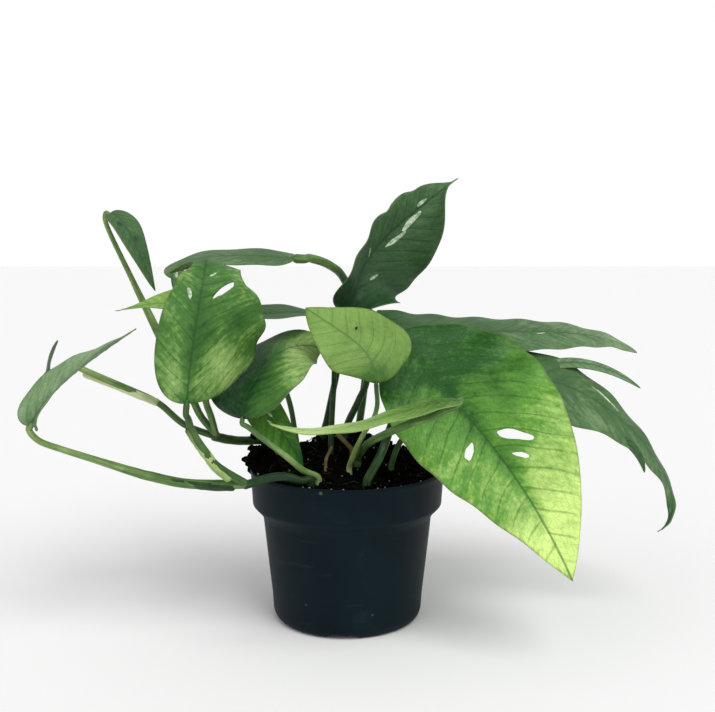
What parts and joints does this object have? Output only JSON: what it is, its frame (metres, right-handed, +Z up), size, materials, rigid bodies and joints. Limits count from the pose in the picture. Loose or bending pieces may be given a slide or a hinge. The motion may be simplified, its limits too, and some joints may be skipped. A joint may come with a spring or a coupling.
{
  "type": "potted pothos plant",
  "caption": "Climbing foliage plant with arching petioles, split and heart-shaped leaves, mounded soil and a tapered nursery pot with a deep collar.",
  "frame": {"origin": "centre of the pot's flat underside, where it rests on a surface", "axes": "+Z up through the pot, +X towards the plant's long lobed leaf, -Y towards its front"},
  "size_m": [0.3928, 0.1707, 0.2724],
  "materials": {
    "pot": "satin blue-black moulded plastic",
    "soil": "damp, loose, fibrous potting mix",
    "leaf_green": "satin leaf, mid green with yellow-green flecks",
    "leaf_dark": "satin leaf, dark grey-green",
    "leaf_pale": "satin leaf, light yellow-green",
    "petiole": "satin green stalk",
    "dead_stalk": "dry tan stalk"
  },
  "bodies": {
    "root": {"leaf_arching": "leaf_green", "leaf_behind_left": "leaf_green", "leaf_centre": "leaf_pale", "leaf_far_left": "leaf_green", "leaf_far_left_small": "leaf_green", "leaf_front_edge": "leaf_green", "leaf_hanging": "leaf_green", "leaf_left_large": "leaf_green", "leaf_left_middle": "leaf_green", "leaf_lobed": "leaf_dark", "leaf_pale_left": "leaf_pale", "leaf_right_large": "leaf_green", "leaf_strap": "leaf_dark", "leaf_under": "leaf_dark", "leaf_upright": "leaf_dark", "petiole_arching": "petiole", "petiole_behind_left": "petiole", "petiole_centre": "petiole", "petiole_front_edge": "petiole", "petiole_left_middle": "petiole", "petiole_lobed": "petiole", "petiole_right_large": "petiole", "petiole_strap": "petiole", "petiole_under": "petiole", "petiole_upright": "petiole", "pot": "pot", "runner_lower": "petiole", "runner_upper": "petiole", "soil": "soil", "stub_long": "dead_stalk", "stub_short": "dead_stalk"}
  },
  "joints": []
}
